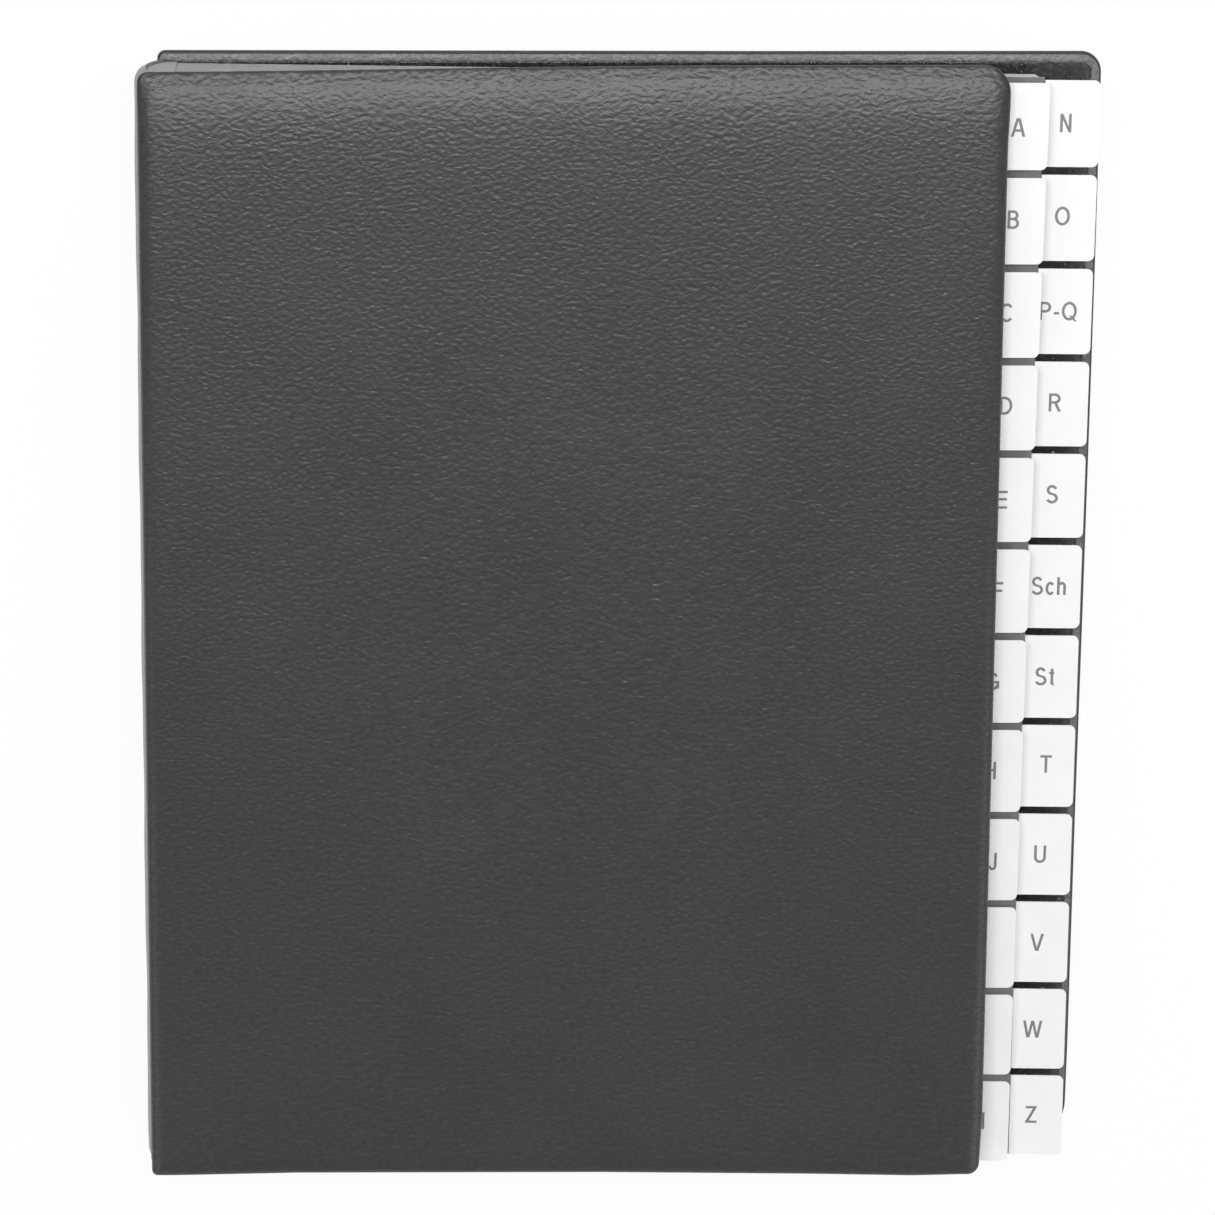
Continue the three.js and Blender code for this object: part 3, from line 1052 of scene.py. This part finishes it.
@dataclass(frozen=True)
class Lettering:
    """A narrow sans-serif drawn in strokes. Sizes are shares of the capital height."""

    weight: float = 0.148

    def bar(self, x0: float, y0: float, x1: float, y1: float) -> Stroke:
        """An upright rectangle."""
        return [(x0, y0), (x1, y0), (x1, y1), (x0, y1)]

    def slant(self, x0: float, y0: float, x1: float, y1: float, thin: float = 1.0) -> Stroke:
        """A slanting stroke with level ends.

        Args:
            x0: middle of its lower end.
            y0: height of its lower end.
            x1: middle of its upper end.
            y1: height of its upper end.
            thin: factor on the weight.

        Returns:
            Its outline.
        """
        half = 0.5 * self.weight * thin * math.hypot(x1 - x0, y1 - y0) / abs(y1 - y0)
        return [(x0 - half, y0), (x0 + half, y0), (x1 + half, y1), (x1 - half, y1)]

    def arc(self, cx: float, cy: float, rx: float, ry: float, start: float, end: float) -> Stroke:
        """A stroke along an ellipse, whose outer line has the given radii.

        Args:
            cx: centre across.
            cy: centre upwards.
            rx: outer radius across.
            ry: outer radius upwards.
            start: first angle in degrees.
            end: last angle in degrees, greater than start.

        Returns:
            Its outline.
        """
        steps = max(6, int((end - start) / 9))
        turns = [math.radians(start + (end - start) * i / steps) for i in range(steps + 1)]
        w = self.weight
        outer = [(cx + rx * math.cos(a), cy + ry * math.sin(a)) for a in turns]
        inner = [(cx + (rx - w) * math.cos(a), cy + (ry - w) * math.sin(a)) for a in turns]
        return outer + inner[::-1]

    def glyph(self, sign: str) -> tuple[float, list[Stroke]]:
        """Strokes of one sign.

        Args:
            sign: the sign.

        Returns:
            Its width and its strokes.
        """
        w = self.weight
        h = w * 0.92
        bar, slant, arc = self.bar, self.slant, self.arc
        stem = bar(0, 0, w, 1)
        signs: dict[str, tuple[float, list[Stroke]]] = {
            "A": (0.76, [slant(0.07, 0, 0.345, 1), slant(0.69, 0, 0.415, 1),
                         bar(0.17, 0.27, 0.59, 0.27 + h)]),
            "B": (0.62, [stem, bar(w, 0, 0.36, h), bar(w, 0.47, 0.36, 0.47 + h), bar(w, 1 - h, 0.34, 1),
                         arc(0.35, 0.293, 0.27, 0.293, -90, 90), arc(0.33, 0.7375, 0.25, 0.2625, -90, 90)]),
            "C": (0.75, [arc(0.385, 0.5, 0.385, 0.52, 42, 318)]),
            "D": (0.69, [stem, bar(w, 0, 0.3, h), bar(w, 1 - h, 0.3, 1),
                         arc(0.29, 0.5, 0.40, 0.5, -90, 90)]),
            "E": (0.64, [stem, bar(w, 0, 0.64, h), bar(w, 0.46, 0.61, 0.46 + h),
                         bar(w, 1 - h, 0.64, 1)]),
            "F": (0.60, [stem, bar(w, 0.44, 0.55, 0.44 + h), bar(w, 1 - h, 0.60, 1)]),
            "G": (0.77, [arc(0.385, 0.5, 0.385, 0.52, 40, 330), bar(0.42, 0.40, 0.77, 0.40 + h),
                         bar(0.77 - w, 0.10, 0.77, 0.42)]),
            "H": (0.67, [stem, bar(0.67 - w, 0, 0.67, 1), bar(w, 0.46, 0.67 - w, 0.46 + h)]),
            "I": (w, [stem]),
            "J": (0.46, [bar(0.46 - w, 0.24, 0.46, 1), arc(0.23, 0.25, 0.23, 0.27, 180, 360)]),
            "K": (0.68, [stem, slant(0.15, 0.36, 0.585, 1), slant(0.60, 0, 0.27, 0.62)]),
            "L": (0.53, [stem, bar(w, 0, 0.53, h)]),
            "M": (0.80, [stem, bar(0.80 - w, 0, 0.80, 1), slant(0.385, 0, 0.09, 1, 0.9),
                         slant(0.415, 0, 0.71, 1, 0.9)]),
            "N": (0.61, [stem, bar(0.61 - w, 0, 0.61, 1), slant(0.535, 0, 0.075, 1, 0.92)]),
            "O": (0.81, [arc(0.405, 0.5, 0.405, 0.52, 0, 360)]),
            "P": (0.63, [stem, bar(w, 0.41, 0.36, 0.41 + h), bar(w, 1 - h, 0.36, 1),
                         arc(0.345, 0.705, 0.285, 0.295, -90, 90)]),
            "Q": (0.83, [arc(0.405, 0.5, 0.405, 0.52, 0, 360), slant(0.76, -0.06, 0.47, 0.25, 0.75)]),
            "R": (0.67, [stem, bar(w, 0.43, 0.36, 0.43 + h), bar(w, 1 - h, 0.36, 1),
                         arc(0.35, 0.715, 0.29, 0.285, -90, 90), slant(0.59, 0, 0.37, 0.47)]),
            "S": (0.66, [arc(0.325, 0.735, 0.285, 0.285, 18, 240), arc(0.335, 0.268, 0.325, 0.288, -162, 60),
                         [(0.115, 0.515), (0.545, 0.38), (0.575, 0.50), (0.15, 0.635)]]),
            "T": (0.64, [bar(0.32 - w / 2, 0, 0.32 + w / 2, 1), bar(0, 1 - h, 0.64, 1)]),
            "U": (0.66, [bar(0, 0.30, w, 1), bar(0.66 - w, 0.30, 0.66, 1),
                         arc(0.33, 0.31, 0.33, 0.33, 180, 360)]),
            "V": (0.74, [slant(0.345, 0, 0.067, 1), slant(0.395, 0, 0.673, 1)]),
            "W": (1.06, [slant(0.265, 0, 0.065, 1), slant(0.295, 0, 0.52, 1, 0.95),
                         slant(0.765, 0, 0.54, 1, 0.95), slant(0.795, 0, 0.995, 1)]),
            "Z": (0.65, [bar(0, 0, 0.65, h), bar(0.02, 1 - h, 0.63, 1),
                         slant(0.09, h * 0.5, 0.55, 1 - h * 0.5)]),
            "c": (0.50, [arc(0.26, 0.36, 0.26, 0.38, 40, 320)]),
            "h": (0.49, [stem, bar(0.49 - w, 0, 0.49, 0.48), arc(0.27, 0.475, 0.22, 0.265, 0, 150)]),
            "t": (0.29, [bar(0.085, 0.12, 0.085 + w, 0.95), bar(0, 0.64, 0.28, 0.64 + h * 0.9),
                         arc(0.245, 0.155, 0.16, 0.165, 180, 282)]),
            "-": (0.32, [bar(0.02, 0.31, 0.30, 0.31 + h)]),
        }
        return signs[sign]

    def word(self, text: str) -> tuple[float, list[Stroke]]:
        """Sets several signs side by side.

        Args:
            text: the signs.

        Returns:
            The width of the word and its strokes.
        """
        x, gap, strokes = 0.0, 0.13, []
        for i, sign in enumerate(text):
            width, parts = self.glyph(sign)
            strokes += [[(x + px, py) for px, py in part] for part in parts]
            x += width + (gap if i + 1 < len(text) else 0.0)
        return x, strokes


@dataclass
class CardBlock:
    """The fan of dividers: finishes of the cards and films, and the printed index letters.

    Each letter is put on its tab by the fan's own sizes, which are those of the solids. Sizes are in mm;
    placed gives each word's distance in from the tab's edge and its rise over the tab's middle.
    """

    card_left: float = -130.0
    rear_right: float = 122.3
    tab_width: float = 16.3
    tab_height: float = 25.6
    top: float = 165.8
    foot: float = -168.4
    fan_spine: Pair = (6.3, 30.7)
    fan_fore: Pair = (17.6, 29.1)
    droop: float = 0.004
    lean: Pair = (0.002, 0.012)
    film_top: float = 0.26
    cap_height: float = 5.45
    front: tuple[str, ...] = ("A", "B", "C", "D", "E", "F", "G", "H", "J", "K", "L", "M")
    rear: tuple[str, ...] = ("N", "O", "PQ", "R", "S", "Sch", "St", "T", "U", "V", "W", "Z")
    words: dict[str, str] = field(default_factory=lambda: {"J": "I-J", "PQ": "P-Q"})
    placed: dict[str, Pair] = field(default_factory=lambda: {
        "A": (8.7, -0.25), "B": (9.0, 0.5), "C": (9.8, 0.7), "D": (8.9, 0.7), "E": (9.1, 0.1),
        "F": (9.2, 0.1), "G": (9.75, 0.0), "H": (9.45, 0.15), "J": (9.65, -0.5), "K": (10.4, 0.1),
        "L": (10.0, 0.1), "M": (9.55, 0.1), "N": (9.7, 0.2), "O": (9.6, 0.6), "PQ": (9.7, 0.15),
        "R": (9.65, 0.5), "S": (9.5, 0.5), "Sch": (9.5, 0.25), "St": (9.75, 0.1), "T": (8.4, 0.65),
        "U": (9.25, 0.1), "V": (9.3, -0.1), "W": (9.8, -0.1), "Z": (9.45, 0.1),
    })

    @property
    def pitch(self) -> float:
        """Distance from tab to tab."""
        return (self.top - self.foot - self.tab_height) / (len(self.front) - 1)

    def on_card(self, x: float, y: float, card: int) -> Point:
        """Puts a point of a flat card where the card lies in the fan.

        Args:
            x: place across the flat card.
            y: place along it.
            card: its number, 0 next to the back cover.

        Returns:
            The point on top of the card's film.
        """
        t = card / (len(self.front) + len(self.rear) - 1)
        low = self.fan_spine[0] + (self.fan_spine[1] - self.fan_spine[0]) * t
        high = self.fan_fore[0] + (self.fan_fore[1] - self.fan_fore[0]) * t
        lean = self.lean[0] + (self.lean[1] - self.lean[0]) * t
        across = x - self.card_left
        share = across / (self.rear_right - self.card_left)
        return (x + lean * y * share, y - self.droop * across, low + (high - low) * share + self.film_top)

    def letter(self, name: str, row: int, column: int) -> Object:
        """Prints one tab's letters as thin closed strokes on its film.

        Args:
            name: the tab's name.
            row: its row from the head.
            column: 0 for the front cards, 1 for the rear ones.

        Returns:
            The object.
        """
        width, strokes = Lettering().word(self.words.get(name, name))
        size = self.cap_height
        edge, rise = self.placed[name]
        right = self.rear_right if column == 0 else self.rear_right + self.tab_width
        x0 = right - edge - width * size / 2
        y0 = self.top - row * self.pitch - self.tab_height / 2 - size / 2 + rise
        card = len(self.front) + len(self.rear) - 1 - row if column == 0 else len(self.rear) - 1 - row
        verts: list[Point] = []
        faces: list[Sequence[int]] = []
        for k, stroke in enumerate(strokes):
            first, n = len(verts), len(stroke)
            for lift in (0.004, 0.016 + 0.001 * k):
                for px, py in stroke:
                    x, y, z = self.on_card(x0 + px * size, y0 + py * size, card)
                    verts.append((x * MM, y * MM, (z + lift) * MM))
            half = n // 2
            # Strips across each stroke keep its faces flat and convex
            for i in range(half - 1):
                a, b, c, d = first + i, first + i + 1, first + n - 2 - i, first + n - 1 - i
                faces.append((d, c, b, a))
                faces.append((a + n, b + n, c + n, d + n))
            for i in range(n):
                a, b = first + i, first + (i + 1) % n
                faces.append((a, b, b + n, a + n))
        made = new_object("letter_" + name, verts, faces)
        outward(made)
        return made

    def dress(self, card: Material, film: Material, ink: Material) -> None:
        """Finishes cards and films, and prints all letters.

        Args:
            card: finish of the cards.
            film: finish of the films.
            ink: finish of the letters.
        """
        for column, names in enumerate((self.front, self.rear)):
            for row, name in enumerate(names):
                dress(bpy.data.objects["divider_" + name], card, None)
                dress(bpy.data.objects["tab_" + name], film, None)
                printed = self.letter(name, row, column)
                dress(printed, ink, Slot.FILM)
                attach(printed, Body.BLOCK.value)
                LOG.info("divider %s finished, %d faces of print", name, len(printed.data.polygons))


# --- stage


@dataclass(frozen=True)
class Lamp:
    """A soft rectangular lamp: place, aim and sides in metres, power in watts."""

    name: str
    place: Point
    aim: Point
    size: Pair
    watts: float

    def build(self) -> None:
        """Adds the lamp to the scene."""
        data = bpy.data.lights.new(self.name, "AREA")
        data.shape = "RECTANGLE"
        data.size, data.size_y = self.size
        data.energy = self.watts
        made = linked(self.name, data)
        made.location = self.place
        direction = Vector(self.aim) - Vector(self.place)
        made.rotation_euler = direction.to_track_quat("-Z", "Y").to_euler()


@dataclass
class Studio:
    """Camera, lamps, floor and world. Camera lengths in mm, lamps in metres, angles in radians."""

    tilt: float = 0.2493
    yaw: float = 0.0378
    roll: float = -0.0081
    distance: float = 1611.8
    focal_px: float = 5322.4
    aim: Pair = (-8.4, 0.32)
    shift: Pair = (6.15, 1.0)
    image_px: float = 1215.0
    ambient: float = 0.24
    sensor: float = 36.0
    floor_half: float = 3.0
    lamps: tuple[Lamp, ...] = (
        Lamp("head_lamp", (0.0, 0.46, 1.50), (0.0, 0.1, 0.0), (1.3, 0.3), 18.2),
        Lamp("brow_lamp", (0.0, 1.5, 0.45), (0.0, 0.15, 0.02), (2.0, 0.5), 5.5),
        Lamp("side_lamp", (-1.2, -0.9, 1.0), (-0.08, -0.16, 0.0), (0.9, 0.9), 3.0),
        Lamp("side_lamp", (1.2, -0.9, 1.0), (0.08, -0.16, 0.0), (0.9, 0.9), 4.5),
    )

    def _lay(self, x: float, y: float, z: float) -> Vector:
        """Turns a direction of the upright view into the lying frame."""
        return Vector((x, z, -y))

    def camera(self) -> None:
        """Sets up the camera at the photograph's viewpoint."""
        ct, st = math.cos(self.tilt), math.sin(self.tilt)
        c, s = math.cos(self.yaw), math.sin(self.yaw)
        cr, sr = math.cos(self.roll), math.sin(self.roll)
        d = self.distance
        place = self._lay(self.aim[0] - s * d * ct, -c * d * ct, self.aim[1] + d * st)
        place += Vector((self.shift[0], 0.0, self.shift[1]))
        across = self._lay(c, -s, 0.0)
        up = self._lay(st * s, st * c, ct)
        forward = self._lay(ct * s, ct * c, -st)
        right = cr * across - sr * up
        top = sr * across + cr * up
        data = bpy.data.cameras.new("camera")
        data.sensor_width = self.sensor
        data.lens = self.focal_px / self.image_px * self.sensor
        data.clip_start, data.clip_end = 0.05, 20.0
        made = bpy.data.objects.new("camera", data)
        columns = (right, top, -forward)
        turn = Matrix([[columns[j][i] for j in range(3)] for i in range(3)]).to_4x4()
        made.matrix_world = Matrix.Translation(place * MM) @ turn
        bpy.context.scene.collection.objects.link(made)
        bpy.context.scene.camera = made

    def world(self) -> None:
        """Sets up a world that shows and mirrors as white, and lights the object dimly."""
        world = bpy.data.worlds.new("world")
        world.use_nodes = True
        tree = world.node_tree
        tree.nodes.clear()
        add, link = tree.nodes.new, tree.links.new
        path = add("ShaderNodeLightPath")
        shown = path.outputs["Is Camera Ray"]
        for ray in ("Is Glossy Ray", "Is Transmission Ray"):
            either = add("ShaderNodeMath")
            either.operation = "MAXIMUM"
            link(shown, either.inputs[0])
            link(path.outputs[ray], either.inputs[1])
            shown = either.outputs[0]
        mix, out = add("ShaderNodeMixShader"), add("ShaderNodeOutputWorld")
        link(shown, mix.inputs[0])
        for slot, color, strength in ((1, rgb(0.96, 0.98, 1.0), self.ambient), (2, rgb(1.0, 1.0, 1.0), 1.0)):
            glow = add("ShaderNodeBackground")
            glow.inputs[0].default_value = color
            glow.inputs[1].default_value = strength
            link(glow.outputs[0], mix.inputs[slot])
        link(mix.outputs[0], out.inputs["Surface"])
        bpy.context.scene.world = world

    def build(self) -> None:
        """Sets up camera, floor, world and lamps."""
        self.camera()
        side = self.floor_half
        corners = [(-side, -side, 0.0), (side, -side, 0.0), (side, side, 0.0), (-side, side, 0.0)]
        floor = new_object("table_top", corners, [(0, 1, 2, 3)])
        floor.data.materials.append(FloorFinish().make())
        self.world()
        for lamp in self.lamps:
            lamp.build()
        LOG.info("studio ready")


def main() -> None:
    """Builds every piece in order and reports each one."""
    scene = bpy.context.scene
    scene.view_settings.view_transform = "Standard"
    Studio().build()
    leather = LeatheretteFinish().make()
    rim = RimPaintedHighlightFinish().make()
    lining = LiningFinish().make()
    seal = SealFinish().make()
    back = CoverBoard(
        "back_board", "back_cover", Body.BACK, -136.0, 142.0, Corners((2.0, 2.4), (12.5, 6.0)), 5.0, -1,
        head_line=((-136.0, 0.0), (40.0, 0.15), (136.0, 0.45)),
        fore_line=((-165.0, -1.0), (-140.0, -0.7), (-63.0, -0.5), (0.0, -0.1), (60.0, 0.2), (110.0, 0.42)),
    )
    front = CoverBoard(
        "front_board", "front_cover", Body.FRONT, -140.5, 112.0, Corners((1.8, 3.2), (3.6, 8.0)), 32.0, 1,
        fore_line=((-168.0, -0.65), (-160.0, -0.35), (-150.0, 0.0), (147.0, 0.0), (157.0, 0.4), (168.0, 0.4)),
        head_line=((-137.0, -1.9), (-122.0, -1.8), (-88.0, -1.3), (-36.0, -0.4), (22.0, 0.3), (103.0, 0.7)),
        foot_line=((-132.0, 1.1), (-96.0, 1.7), (-4.0, 1.4), (60.0, 0.5), (92.0, -0.2), (106.0, 0.1)),
        head_fall=(
            (0.0, 1.9), (3.0, 1.54), (6.0, 1.18), (9.0, 0.86), (12.0, 0.6), (15.0, 0.42), (20.0, 0.24),
            (25.0, 0.14), (32.0, 0.06), (42.0, 0.0),
        ),
        dish=0.8,
    )
    for cover in (back, front):
        cover.dress(cover.build(), leather)
        strip = TurnedRim(cover.name + "_rim", cover)
        strip.dress(strip.build(), rim)
        line = SealLine(cover.name + "_seal", cover)
        line.dress(line.build(seal))
    for node in ("back_lining", "front_lining"):
        dress(bpy.data.objects[node], lining, None)
    dress(bpy.data.objects["gusset"], GussetFinish().make(), None)
    skin = SpineSkin()
    lower, upper = skin.build()
    # The covers' leatherette made several times paler on the spine: painted highlight for the light its
    # rounded skin catches
    spine_painted_highlight = LeatheretteFinish("spine_leatherette", tone=0.05, depth=0.0001, roughness=0.3, specular=0.9)
    skin.dress(lower, upper, spine_painted_highlight.make())
    CardBlock().dress(CardFinish().make(), FilmFinish().make(), InkFinish().make())


if __name__ == "__main__":
    logging.basicConfig(level=logging.INFO)
    main()
